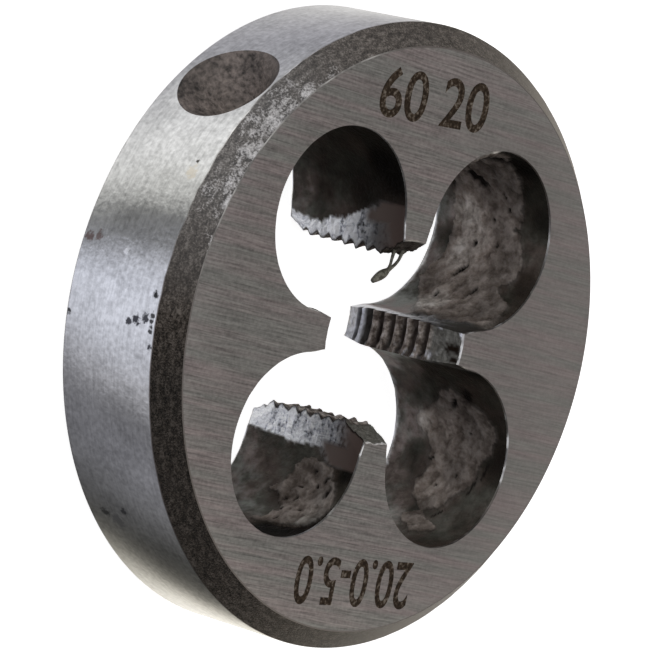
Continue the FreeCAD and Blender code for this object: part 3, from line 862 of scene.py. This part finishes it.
# Stains and nicks on the rim, and one painted glint, the white spot: turn in degrees, height, size, colour
RIM_SPOTS_AND_GLINT = [
    (152.9, 3.72, 0.07, (0.05, 0.045, 0.04)), (155.2, 3.72, 0.24, (0.62, 0.58, 0.52)),
    (170.5, 0.75, 0.18, (0.26, 0.20, 0.19)), (169.8, 1.15, 0.15, (0.30, 0.24, 0.23)),
    (171.4, 2.45, 0.11, (1.0, 1.0, 1.0)), (177.4, 4.10, 0.13, (0.03, 0.03, 0.03)),
    (-177.6, 3.49, 0.18, (0.05, 0.05, 0.055)), (-178.2, 3.85, 0.16, (0.06, 0.06, 0.065)),
    (-177.0, 3.20, 0.14, (0.06, 0.06, 0.065)), (-173.4, 4.17, 0.10, (0.05, 0.05, 0.055)),
    (-176.0, 0.56, 0.12, (0.06, 0.06, 0.06)), (-178.9, 4.15, 0.10, (0.06, 0.06, 0.06)),
    (-177.9, 4.13, 0.09, (0.06, 0.06, 0.06)), (-177.0, 4.15, 0.08, (0.06, 0.06, 0.06)),
    (-176.1, 4.13, 0.08, (0.06, 0.06, 0.06)), (-138.4, 1.26, 0.18, (0.16, 0.16, 0.17)),
    (-139.8, 2.19, 0.16, (0.16, 0.16, 0.17)), (-137.0, 1.7, 0.3, (0.42, 0.42, 0.44)),
]

# The front and back chamfers by turn in degrees: how light the oxide is where it is uneven, partly painted
# light, how far it is worn through, how even it is, and how much painted light and reflection it takes there
CHAMFER_AND_PAINTED_LIGHT = {
    "oxide": [
        (-177, 0.55), (-168, 0.30), (-130, 0.32), (-110, 0.55), (-80, 1.0), (30, 1.6), (60, 1.5), (95, 0.9),
        (128, 1.5), (140, 2.3), (156, 2.3), (166, 1.2), (174, 0.7),
    ],
    "worn": [
        (-175, 0.0), (60, 0.0), (90, 0.06), (110, 0.13), (123, 0.20), (138, 0.31), (149, 0.29), (158, 0.29),
        (166, 0.20), (173, 0.14), (179, 0.04),
    ],
    "even": [(-120, 0.0), (-95, 0.5), (-70, 0.9), (60, 0.9), (80, 0.4), (95, 0.1), (100, 0.0)],
    "lit": [
        (-100, 0.85), (-85, 0.9), (-72, 1.3), (-60, 1.5), (-30, 1.7), (0, 1.9), (20, 2.0), (45, 2.6),
        (60, 2.0), (72, 1.3), (85, 1.0),
    ],
}


# Nodes

def put(tree, kind, inputs=None, **settings):
    """Add a node. Each input takes a plain value or another node's output."""
    node = tree.nodes.new(kind)
    for name, value in settings.items():
        setattr(node, name, value)
    for name, value in (inputs or {}).items():
        if isinstance(value, bpy.types.NodeSocket):
            tree.links.new(value, node.inputs[name])
        else:
            node.inputs[name].default_value = value
    return node


def calculate(tree, operation, *values, clamp=False):
    """A maths node's output."""
    inputs = dict(enumerate(values))
    return put(tree, "ShaderNodeMath", inputs, operation=operation, use_clamp=clamp).outputs[0]


def ramp(tree, share, stops):
    """A colour ramp's output. Each stop is a position and a colour, or a position and one grey value."""
    node = put(tree, "ShaderNodeValToRGB", {"Fac": share})
    elements = node.color_ramp.elements
    while len(elements) < len(stops):
        elements.new(1.0)
    for element, (position, colour) in zip(elements, sorted(stops)):
        element.position = position
        element.color = (*colour, 1) if isinstance(colour, tuple) else (colour, colour, colour, 1)
    return node.outputs["Color"]


def blend(tree, share, first, second, kind="MIX"):
    """A colour mix's output."""
    node = put(tree, "ShaderNodeMix", data_type="RGBA", blend_type=kind)
    for socket, value in zip([node.inputs[0], node.inputs[6], node.inputs[7]], [share, first, second]):
        if isinstance(value, bpy.types.NodeSocket):
            tree.links.new(value, socket)
        else:
            socket.default_value = (*value, 1) if isinstance(value, tuple) else value
    return node.outputs[2]


def ranged(tree, value, start, end, first=0.0, last=1.0):
    """A value stretched so that start gives first and end gives last, and held level past both."""
    return put(tree, "ShaderNodeMapRange", {0: value, 1: start, 2: end, 3: first, 4: last}).outputs[0]


def split(tree, vector):
    """The X, Y and Z of a vector."""
    return put(tree, "ShaderNodeSeparateXYZ", {"Vector": vector}).outputs


def tinted(tree, colour, tint):
    """A colour times another."""
    return blend(tree, 1.0, colour, tint, "MULTIPLY")


def round_about(tree, turn, table):
    """A colour ramp that goes once round the die, from a table of directions in degrees."""
    return ramp(tree, turn, [(angle / 360 + 0.5, value) for angle, value in table])


def part_of_turn(tree, x, y):
    """The direction of a place from the axis, as 0 to 1 from -180 to 180 degrees."""
    return calculate(tree, "MULTIPLY_ADD", calculate(tree, "ARCTAN2", y, x), 1 / math.tau, 0.5)


# The studio

def studio_world():
    """White behind the die for the camera, and boards of different brightness round it for all else."""
    world = bpy.data.worlds.new("studio")
    world.use_nodes = True
    tree = world.node_tree
    tree.nodes.clear()
    x, y, z = split(tree, put(tree, "ShaderNodeTexCoord").outputs["Generated"])
    turn = part_of_turn(tree, x, y)
    low, high = (round_about(tree, turn, table) for table in (LOW_BOARDS, HIGH_BOARDS))
    high = tinted(tree, high, ramp(tree, z, HIGH_FADE))
    boards = blend(tree, ranged(tree, z, *BOARDS_MEET), low, high)
    around = blend(tree, ranged(tree, z, *CEILING_MEETS), boards, CEILING)
    seen = put(tree, "ShaderNodeLightPath").outputs["Is Camera Ray"]
    light = put(tree, "ShaderNodeBackground", {"Color": blend(tree, seen, around, WHITE)})
    put(tree, "ShaderNodeOutputWorld", {"Surface": light.outputs[0]})
    bpy.context.scene.world = world


def studio_floor():
    """A plain white floor that keeps the die's soft shadow. The metal reflects the boards through it."""
    bm = bmesh.new()
    bmesh.ops.create_grid(bm, x_segments=1, y_segments=1, size=FLOOR_SIZE)
    bmesh.ops.scale(bm, vec=(MM, MM, MM), verts=bm.verts)
    mesh = mesh_of("floor", bm)
    floor = linked("floor", mesh)
    floor.location.z = -FLOOR_GAP * MM
    material = bpy.data.materials.new("white_floor")
    material.use_nodes = True
    tree = material.node_tree
    tree.nodes.clear()
    path = put(tree, "ShaderNodeLightPath").outputs
    card = put(tree, "ShaderNodeBsdfDiffuse", {"Color": FLOOR_COLOUR})
    strength = calculate(tree, "MULTIPLY", path["Is Camera Ray"], FLOOR_GLOW)
    glow = put(tree, "ShaderNodeEmission", {"Strength": strength})
    lit = put(tree, "ShaderNodeAddShader", {0: card.outputs[0], 1: glow.outputs[0]})
    reflected = calculate(tree, "ADD", path["Is Glossy Ray"], path["Is Transmission Ray"], clamp=True)
    clear = put(tree, "ShaderNodeBsdfTransparent")
    shown = put(tree, "ShaderNodeMixShader", {0: reflected, 1: lit.outputs[0], 2: clear.outputs[0]})
    put(tree, "ShaderNodeOutputMaterial", {"Surface": shown.outputs[0]})
    mesh.materials.append(material)


# Materials

def new_group(name, inputs, outputs):
    """A node group; gives its tree, its inputs and its outputs. An input without a value is a vector."""
    tree = bpy.data.node_groups.new(name, "ShaderNodeTree")
    for socket, value in inputs.items():
        kind = "NodeSocketVector" if value is None else "NodeSocketFloat"
        item = tree.interface.new_socket(socket, in_out="INPUT", socket_type=kind)
        if value is not None:
            item.default_value = value
    for socket in outputs:
        tree.interface.new_socket(socket, in_out="OUTPUT", socket_type="NodeSocketFloat")
    return tree, tree.nodes.new("NodeGroupInput").outputs, tree.nodes.new("NodeGroupOutput").inputs


def clouds(tree, place, scale, detail, roughness=0.5):
    """A cloudy value at a place."""
    inputs = {"Vector": place, "Scale": scale, "Detail": detail, "Roughness": roughness}
    return put(tree, "ShaderNodeTexNoise", inputs).outputs["Fac"]


def stretched(tree, vector, factors):
    """A vector times a factor along each axis."""
    return put(tree, "ShaderNodeVectorMath", {0: vector, 1: factors}, operation="MULTIPLY").outputs[0]


def grinding_group():
    """Fine parallel lines along the group's X, with their own slow change of depth."""
    tree, given, result = new_group("grinding_lines", {"Vector": None, "Fineness": 9.0}, ["Lines", "Drift"])
    place = stretched(tree, given["Vector"], (0.04, 1, 1))
    wide = calculate(tree, "MULTIPLY", given["Fineness"], 0.17)
    tree.links.new(clouds(tree, place, given["Fineness"], 3.0, 0.6), result["Lines"])
    tree.links.new(clouds(tree, place, wide, 2.0), result["Drift"])
    return tree


def pitting_group():
    """Small irregular lumps, and grain a quarter of their size."""
    tree, given, result = new_group("pitting", {"Vector": None, "Size": 0.3}, ["Lumps", "Grain"])
    scale = calculate(tree, "DIVIDE", 1.0, given["Size"])
    fine = calculate(tree, "MULTIPLY", scale, 4.0)
    tree.links.new(clouds(tree, given["Vector"], scale, 3.0, 0.55), result["Lumps"])
    tree.links.new(clouds(tree, given["Vector"], fine, 2.0, 0.7), result["Grain"])
    return tree


def spot_group():
    """One ragged spot on an unrolled surface."""
    tree, given, result = new_group("spot", {"Vector": None, "Middle": None, "Size": 0.2}, ["Cover"])
    ends = {0: given["Vector"], 1: given["Middle"]}
    away = put(tree, "ShaderNodeVectorMath", ends, operation="DISTANCE").outputs["Value"]
    speckle = clouds(tree, given["Vector"], 6.0, 3.0, 0.7)
    edge = calculate(tree, "MULTIPLY_ADD", speckle, 3.0, calculate(tree, "DIVIDE", away, given["Size"]))
    tree.links.new(ranged(tree, edge, 2.6, 2.1), result["Cover"])
    return tree


def use_group(tree, group, inputs):
    """The outputs of a node that holds a group."""
    return put(tree, "ShaderNodeGroup", inputs, node_tree=group).outputs


def texture(tree, pitting, place, size):
    """Lumps and grain of a size in millimetres."""
    return use_group(tree, pitting, {"Vector": place, "Size": size})


def new_material(name, metallic, roughness):
    """A material with its Principled shader; gives its tree, the shader and the place in millimetres."""
    material = bpy.data.materials.new(name)
    material.use_nodes = True
    tree = material.node_tree
    shader = tree.nodes["Principled BSDF"]
    shader.inputs["Metallic"].default_value = metallic
    shader.inputs["Roughness"].default_value = roughness
    metres = put(tree, "ShaderNodeTexCoord").outputs["Object"]
    place = put(tree, "ShaderNodeVectorMath", {0: metres, "Scale": 1 / MM}, operation="SCALE").outputs[0]
    return material, tree, shader, place


def bump(tree, shader, height, depth):
    """Feed the shader's normal from a height map, with its depth in millimetres."""
    node = put(tree, "ShaderNodeBump", {"Height": height, "Strength": 1.0, "Distance": depth * MM})
    tree.links.new(node.outputs[0], shader.inputs["Normal"])


def weighted(tree, first, share, second, other_share):
    """Two values, each times its own share, added up."""
    return calculate(tree, "MULTIPLY_ADD", first, share, calculate(tree, "MULTIPLY", second, other_share))


def inverted(tree, value):
    """One less a value."""
    return calculate(tree, "SUBTRACT", 1.0, value)


def mark(tree, name):
    """A mark that was stored on the mesh's points."""
    return put(tree, "ShaderNodeAttribute", attribute_name=name).outputs["Fac"]


def unrolled(tree, angle, stretch, height):
    """A place on the rim or a chamfer laid out flat: its angle times a stretch, and its height."""
    along = calculate(tree, "MULTIPLY", angle, stretch)
    return put(tree, "ShaderNodeCombineXYZ", {"X": along, "Y": height}).outputs[0]


def ground_face(grinding, pitting):
    """A flat face as the wheel left it: lines that run nearly along the die's X, deeper on its left."""
    material, tree, shader, place = new_material("ground_face", 1.0, 0.42)
    inputs = {"Vector": place, "Angle": LINES_TURN}
    turned = put(tree, "ShaderNodeVectorRotate", inputs, rotation_type="Z_AXIS").outputs[0]
    lines = use_group(tree, grinding, {"Vector": turned, "Fineness": 15.0})
    rough = texture(tree, pitting, place, 0.12)
    tint = ramp(tree, lines["Drift"], [
        (0.35, (0.325, 0.320, 0.306)), (0.5, (0.345, 0.321, 0.312)), (0.65, (0.375, 0.328, 0.325)),
    ])
    lines_and_grain = weighted(tree, rough["Lumps"], 0.3, lines["Lines"], 0.7)
    depth = ranged(tree, split(tree, place)["X"], 0.0, 6.0, 2.4, 1.2)
    shade = calculate(tree, "MULTIPLY_ADD", calculate(tree, "SUBTRACT", lines_and_grain, 0.5), depth, 1.0)
    tree.links.new(tinted(tree, tint, shade), shader.inputs["Base Color"])
    bump(tree, shader, lines["Lines"], 0.01)
    return material


def ground_rim(grinding, pitting, spots):
    """The rim, ground all round, with its stains and nicks and one painted glint."""
    material, tree, shader, place = new_material("ground_rim", 1.0, 0.31)
    x, y, z = split(tree, place)
    flat = unrolled(tree, calculate(tree, "ARCTAN2", y, x), RIM_RADIUS, z)
    lines = use_group(tree, grinding, {"Vector": flat, "Fineness": 11.0})
    rough = texture(tree, pitting, place, 0.16)
    wide = texture(tree, pitting, place, 0.9)
    grain = weighted(tree, lines["Lines"], 0.25, rough["Lumps"], 0.5)
    grain = calculate(tree, "MULTIPLY_ADD", wide["Lumps"], 0.25, grain)
    colour = ramp(tree, grain, [(0.34, 0.40), (0.66, 0.79)])
    # The white spot is a painted glint; the others are stains and nicks
    for degrees, height, size, stain in RIM_SPOTS_AND_GLINT:
        middle = (math.radians(degrees) * RIM_RADIUS, height, 0)
        cover = use_group(tree, spots, {"Vector": flat, "Middle": middle, "Size": size})["Cover"]
        colour = blend(tree, cover, colour, stain)
    tree.links.new(colour, shader.inputs["Base Color"])
    shader.inputs["Anisotropic"].default_value = 0.8
    shader.inputs["Anisotropic Rotation"].default_value = 0.25
    tangent = put(tree, "ShaderNodeTangent", direction_type="RADIAL", axis="Z")
    tree.links.new(tangent.outputs[0], shader.inputs["Tangent"])
    bump(tree, shader, rough["Lumps"], 0.006)
    return material


def hardened_chamfer(pitting):
    """The chamfers, dark from hardening and rubbed through to the metal in flecks, with painted light by turn
    round the die.
    """
    material, tree, shader, place = new_material("hardened_chamfer", 0.0, 0.5)
    shader.inputs["Specular IOR Level"].default_value = 0.1
    x, y, z = split(tree, place)
    drawn_out = unrolled(tree, calculate(tree, "ARCTAN2", y, x), 3.5, z)
    rough = texture(tree, pitting, drawn_out, 0.12)
    fine = texture(tree, pitting, place, 0.06)
    wide = texture(tree, pitting, place, 0.7)
    turn = part_of_turn(tree, x, y)
    # By turn: strength is the oxide's lightness, partly painted light; lit is painted light; worn and even
    # are real
    strength, worn, even, lit = (round_about(tree, turn, table) for table in CHAMFER_AND_PAINTED_LIGHT.values())
    uneven = inverted(tree, even)

    grain = weighted(tree, fine["Lumps"], 0.55, rough["Lumps"], 0.45)
    scale = ramp(tree, grain, [
        (0.38, (0.006, 0.004, 0.002)), (0.50, (0.070, 0.056, 0.045)), (0.62, (0.21, 0.178, 0.152)),
    ])
    neutral = calculate(tree, "MULTIPLY", worn, 3.3, clamp=True)
    paler = calculate(tree, "MULTIPLY", neutral, 0.45)
    oxide = blend(tree, paler, tinted(tree, scale, strength), (0.205, 0.182, 0.168))
    oxide = tinted(tree, oxide, blend(tree, neutral, WHITE, (0.93, 1.03, 1.12)))
    # The even part times lit: painted light and painted reflection
    oxide = blend(tree, even, oxide, tinted(tree, (0.090, 0.077, 0.060), lit))
    specks = calculate(tree, "MULTIPLY", ranged(tree, fine["Grain"], 0.60, 0.72), uneven)
    oxide = blend(tree, specks, oxide, (0.20, 0.185, 0.17))

    flecks = weighted(tree, grain, 0.5, wide["Lumps"], 0.5)
    flecks = calculate(tree, "MULTIPLY_ADD", calculate(tree, "SUBTRACT", z, 4.65), 0.15, flecks)
    level = calculate(tree, "SUBTRACT", calculate(tree, "ADD", flecks, worn), 0.785)
    through = ranged(tree, level, 0.0, 0.12)
    tree.links.new(blend(tree, through, oxide, (0.70, 0.68, 0.68)), shader.inputs["Base Color"])
    tree.links.new(through, shader.inputs["Metallic"])
    bump(tree, shader, calculate(tree, "MULTIPLY", grain, uneven), 0.08)
    return material


def wall_scale(tree, pitting, place, rough, lightness_and_painted_light):
    """Colour of the scale that hardening left on a chip hole's wall, made lighter or darker by painted light
    and shade.
    """
    mottling = calculate(tree, "MULTIPLY_ADD", rough["Lumps"], 1.3, 0.35)
    mottled = calculate(tree, "MULTIPLY", lightness_and_painted_light, mottling)
    scale = ramp(tree, mottled, [
        (0.0, (0.0025, 0.002, 0.0012)), (0.17, (0.038, 0.0335, 0.027)), (0.5, (0.165, 0.155, 0.138)),
        (1.0, (0.60, 0.59, 0.57)),
    ])
    wide = texture(tree, pitting, place, 1.1)
    hue = ramp(tree, wide["Lumps"], [(0.40, (0.97, 1.01, 0.98)), (0.60, (1.12, 0.97, 0.96))])
    return tinted(tree, scale, hue)


def wall_dirt(tree, place, rough, fine, lightness_and_painted_light):
    """Colour of the dirt caked on a chip hole's wall, with painted light and shade. It is greyer near the
    front face on the die's left.
    """
    x, _, height = split(tree, place)
    relief = ranged(tree, mark(tree, "relief"), -0.5, 0.5)
    lumps = weighted(tree, rough["Lumps"], 0.5, relief, 0.2)
    lumps = calculate(tree, "MULTIPLY_ADD", fine["Lumps"], 0.3, lumps)
    dirt = ramp(tree, lumps, [
        (0.34, (0.135, 0.109, 0.093)), (0.46, (0.24, 0.200, 0.174)), (0.64, (0.40, 0.348, 0.314)),
    ])
    # lit multiplies the dirt with painted light and shade from the tone mark
    lit = ramp(tree, lightness_and_painted_light, [
        (0.0, 0.35), (0.18, 0.55), (0.35, 0.85), (0.6, 1.4), (1.0, (2.75, 3.0, 3.15)),
    ])
    greyer = calculate(tree, "MULTIPLY", ranged(tree, height, 3.9, 4.4), ranged(tree, x, -1.0, -2.5))
    dirt = tinted(tree, dirt, blend(tree, greyer, WHITE, (0.80, 0.90, 0.93)))
    return tinted(tree, dirt, lit)


def torn_metal(tree, pitting, place, fine, ragged):
    """Colour of a land's ground side: bright, torn metal that is duller towards the front."""
    torn = texture(tree, pitting, stretched(tree, place, (0.5, 0.30, 1.0)), 0.20)
    crack = weighted(tree, torn["Lumps"], 0.6, fine["Lumps"], 0.4)
    crack = calculate(tree, "MULTIPLY_ADD", ragged, -0.028, calculate(tree, "ADD", crack, 0.07))
    fresh = ramp(tree, crack, [(0.36, (0.16, 0.16, 0.155)), (0.43, (0.62, 0.63, 0.67)), (0.50, WHITE)])
    top_land = ranged(tree, split(tree, place)["Y"], 0.0, 1.0)
    first = calculate(tree, "MULTIPLY_ADD", top_land, 0.7, 2.1)
    last = calculate(tree, "MULTIPLY_ADD", top_land, -0.3, 4.5)
    dullest = calculate(tree, "MULTIPLY_ADD", top_land, -0.10, 0.25)
    return tinted(tree, fresh, ranged(tree, ragged, first, last, 1.0, dullest))


def browned_metal(tree, place):
    """Colour of a land's side where it is browned: darker near the front face and on the right land."""
    x, _, height = split(tree, place)
    brown = blend(tree, ranged(tree, height, 3.8, 4.8), (0.125, 0.098, 0.087), (0.070, 0.050, 0.044))
    return tinted(tree, brown, blend(tree, ranged(tree, x, 1.5, 2.5), WHITE, (0.50, 0.62, 0.62)))


def opening_wall(pitting):
    """The chip holes' walls and the lands' sides: scale, caked dirt, dark pits, and metal ground bare, with
    painted light and shade.
    """
    material, tree, shader, place = new_material("opening_wall", 0.0, 0.6)
    shader.inputs["Specular IOR Level"].default_value = 0.06
    rough = texture(tree, pitting, place, 0.35)
    fine = texture(tree, pitting, place, 0.13)
    # The tone mark holds the wall's own tone together with painted light and shade
    lightness_and_painted_light = calculate(tree, "MULTIPLY", mark(tree, "tone_and_painted_light"), 0.5)
    scale = wall_scale(tree, pitting, place, rough, lightness_and_painted_light)
    caked = mark(tree, "cake")
    colour = blend(tree, caked, scale, wall_dirt(tree, place, rough, fine, lightness_and_painted_light))
    # Painted shadow: the colour darkens along the edge of the cake
    painted_shadow_at_cake_edge = calculate(tree, "ABSOLUTE", calculate(tree, "MULTIPLY_ADD", caked, 2.0, -1.0))
    colour = tinted(tree, colour, ramp(tree, painted_shadow_at_cake_edge, [(0.0, 0.5), (1.0, 1.0)]))
    # Pits and cracks painted near black: partly their own dark, partly painted shade
    colour = blend(tree, mark(tree, "pit_and_painted_shade"), colour, (0.007, 0.005, 0.004))

    ragged = calculate(tree, "MULTIPLY_ADD", rough["Lumps"], 0.6, split(tree, place)["Z"])
    browned = calculate(tree, "MAXIMUM", ranged(tree, ragged, 4.0, 4.8), mark(tree, "groove"))
    bare_and_painted_highlight = mark(tree, "bare_and_painted_highlight")
    metal = torn_metal(tree, pitting, place, fine, ragged)
    metal = blend(tree, browned, metal, browned_metal(tree, place))
    tree.links.new(blend(tree, bare_and_painted_highlight, colour, metal), shader.inputs["Base Color"])
    shiny = calculate(tree, "MULTIPLY", bare_and_painted_highlight, inverted(tree, browned))
    tree.links.new(shiny, shader.inputs["Metallic"])
    unground = inverted(tree, calculate(tree, "MULTIPLY", bare_and_painted_highlight, browned))
    raised = weighted(tree, fine["Lumps"], 0.5, rough["Lumps"], 0.6)
    bump(tree, shader, calculate(tree, "MULTIPLY", raised, unground), 0.15)
    return material


def broken_edge(pitting):
    """The broken edges: bright round the holes, a painted highlight on the rim's edges at the upper left, and
    dim, painted shade, on the rest.
    """
    material, tree, shader, place = new_material("broken_edge", 1.0, 0.35)
    rough = texture(tree, pitting, place, 0.6)
    colour = ramp(tree, rough["Lumps"], [(0.38, (0.30, 0.29, 0.28)), (0.66, (0.80, 0.79, 0.77))])
    x, y, _ = split(tree, place)
    away = put(tree, "ShaderNodeVectorMath", {0: place}, operation="LENGTH").outputs["Value"]
    painted_highlight = calculate(tree, "MULTIPLY", ranged(tree, y, 0.0, 4.0), ranged(tree, x, -1.5, -4.0))
    dim_outside_painted_highlight = calculate(tree, "MULTIPLY", ranged(tree, away, 9.0, 9.2), inverted(tree, painted_highlight))
    tree.links.new(blend(tree, dim_outside_painted_highlight, colour, (0.22, 0.20, 0.19)), shader.inputs["Base Color"])
    return material


def thread(pitting):
    """The lands' tips: dark grooves, browned crests, metal worn bare, an even grey front lead-in, painted
    light on the bottom land and painted shade on the top land.
    """
    material, tree, shader, place = new_material("thread", 0.5, 0.42)
    lumps = texture(tree, pitting, place, 0.22)["Lumps"]
    _, y, z = split(tree, place)
    groove = mark(tree, "groove")
    crest = ramp(tree, lumps, [
        (0.36, (0.08, 0.059, 0.047)), (0.50, (0.24, 0.202, 0.172)), (0.64, (0.46, 0.405, 0.37)),
    ])
    lead = ramp(tree, lumps, [(0.35, (0.085, 0.080, 0.070)), (0.65, (0.13, 0.127, 0.115))])
    # Painted light: the lead-in is lighter on the bottom land, whose tip faces +Y
    lead = tinted(tree, lead, blend(tree, ranged(tree, y, -1.0, -2.0), WHITE, (1.6, 1.6, 1.55)))
    ground = blend(tree, ranged(tree, z, 3.9, 4.1), crest, lead)
    oxide = blend(tree, ranged(tree, groove, 0.50, 1.0), ground, (0.040, 0.029, 0.024))
    metal = ramp(tree, lumps, [(0.3, (0.34, 0.34, 0.36)), (0.7, (0.80, 0.81, 0.87))])
    metal = blend(tree, ranged(tree, groove, 0.2, 0.7), metal, (0.055, 0.050, 0.046))
    worn = blend(tree, mark(tree, "bare_and_painted_highlight"), oxide, metal)
    stain = mark(tree, "cake")
    stained = blend(tree, stain, worn, (0.012, 0.008, 0.006))
    # Painted shade: the top land, whose tip faces -Y, is darker
    with_painted_shade = tinted(tree, stained, blend(tree, ranged(tree, y, 1.0, 2.0), WHITE, (0.22, 0.16, 0.14)))
    tree.links.new(with_painted_shade, shader.inputs["Base Color"])
    uncovered = calculate(tree, "MULTIPLY_ADD", stain, -0.5, 0.5)
    tree.links.new(uncovered, shader.inputs["Metallic"])
    tree.links.new(uncovered, shader.inputs["Specular IOR Level"])
    bump(tree, shader, lumps, 0.08)
    return material


def burnt_mark(pitting):
    """The numbers, burnt into the face."""
    material, tree, shader, place = new_material("burnt_mark", 0.0, 0.7)
    shader.inputs["Specular IOR Level"].default_value = 0.1
    colour = ramp(tree, texture(tree, pitting, place, 0.12)["Lumps"], [
        (0.38, (0.020, 0.013, 0.008)), (0.54, (0.050, 0.034, 0.022)), (0.68, (0.19, 0.160, 0.13)),
    ])
    tree.links.new(colour, shader.inputs["Base Color"])
    return material


def swarf_metal(pitting):
    """The swarf, dirty from cutting oil."""
    material, tree, shader, place = new_material("swarf", 0.4, 0.5)
    lumps = texture(tree, pitting, place, 0.12)["Lumps"]
    colour = ramp(tree, lumps, [(0.35, (0.06, 0.055, 0.042)), (0.7, (0.28, 0.27, 0.22))])
    tree.links.new(colour, shader.inputs["Base Color"])
    return material


def dimple(pitting):
    """The set-screw dimples, dark and rough, with painted shade and highlight: lighter low down, darker at
    the bottom and top.
    """
    material, tree, shader, place = new_material("dimple", 0.2, 0.55)
    rough = texture(tree, pitting, place, 0.16)
    wide = texture(tree, pitting, place, 1.2)
    grain = weighted(tree, rough["Lumps"], 0.6, wide["Lumps"], 0.4)
    colour = ramp(tree, grain, [(0.36, (0.020, 0.015, 0.012)), (0.64, (0.23, 0.190, 0.168))])
    # Painted shade and highlight by height inside the dimple
    upward = ranged(tree, split(tree, place)["Z"], 0.8, 4.2)
    shade = ramp(tree, upward, [(0.0, 0.7), (0.25, 1.2), (0.5, 1.0), (1.0, 0.5)])
    tree.links.new(tinted(tree, colour, shade), shader.inputs["Base Color"])
    bump(tree, shader, rough["Lumps"], 0.08)
    return material


bpy.context.scene.view_settings.view_transform = "Standard"
studio_world()
studio_floor()
grinding = grinding_group()
pitting = pitting_group()
finishes = [
    ground_face(grinding, pitting), ground_rim(grinding, pitting, spot_group()), hardened_chamfer(pitting),
    opening_wall(pitting), thread(pitting), dimple(pitting), broken_edge(pitting),
]
die = build_die(finishes)
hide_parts(NODE)
ink = burnt_mark(pitting)
lettering("marks_top", *TOP_WORDS, [ink])
lettering("marks_bottom", *BOTTOM_WORDS, [ink], upside_down=True)
swarf = swarf_metal(pitting)
for name, path in SWARF.items():
    sliver(name, path, [swarf])

camera()
